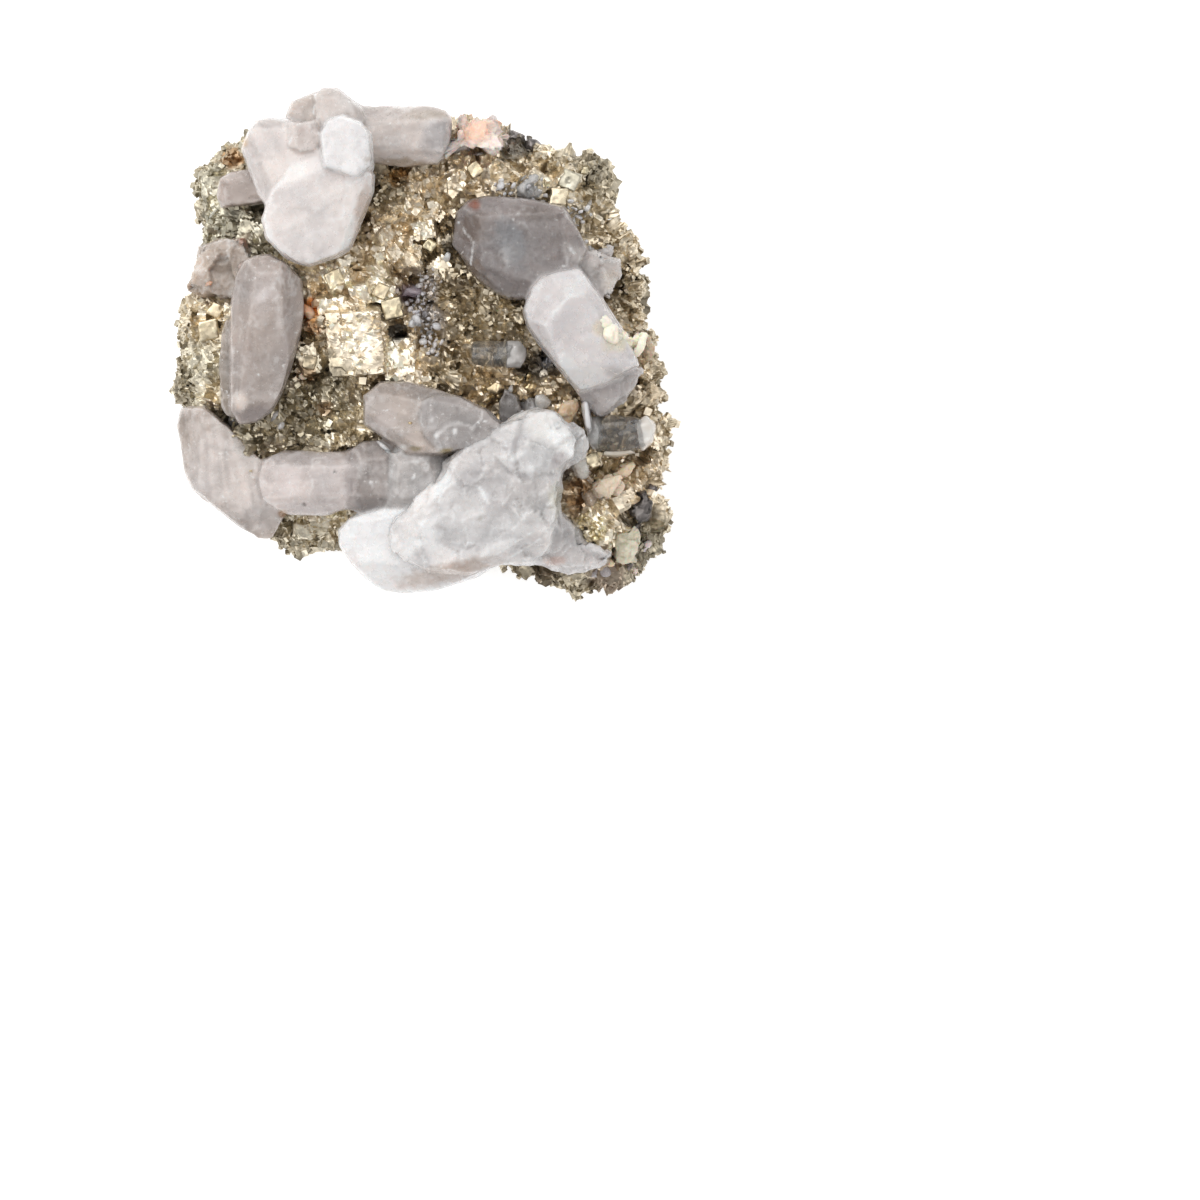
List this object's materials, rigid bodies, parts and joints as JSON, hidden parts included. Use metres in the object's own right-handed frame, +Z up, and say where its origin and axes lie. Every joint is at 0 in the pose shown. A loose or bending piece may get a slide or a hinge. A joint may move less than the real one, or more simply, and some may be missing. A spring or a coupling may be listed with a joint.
{
  "type": "pyrite with quartz mineral specimen",
  "caption": "Hand specimen of massive granular pyrite that carries intergrown white, smoky and clear quartz crystals on its upper side.",
  "frame": {"origin": "middle of the bounding box at its bottom, on the surface that the specimen rests on", "axes": "+Z up, away from the resting face; +X along the longest side; +Y across, towards the end with the stubby white crystals"},
  "size_m": [0.0723, 0.071, 0.0346],
  "materials": {
    "pyrite": "satin",
    "quartz_white": "satin",
    "quartz_smoky": "satin",
    "quartz_clear": "gloss",
    "carbonate_pink": "matte",
    "carbonate_cream": "matte",
    "lead_ore": "satin"
  },
  "bodies": {
    "root": {"pyrite_mass": "pyrite", "quartz_cluster_upper_left": "quartz_white", "quartz_prism_left": "quartz_white", "quartz_cluster_lower": "quartz_white", "quartz_cluster_right": "quartz_smoky", "quartz_prism_small": "quartz_clear", "quartz_prism_edge": "quartz_clear", "pink_carbonate_patch": "carbonate_pink", "cream_carbonate_right": "carbonate_cream", "cream_carbonate_lower": "carbonate_cream", "green_carbonate_corner": "carbonate_cream", "lead_ore_grain": "lead_ore"}
  },
  "joints": []
}
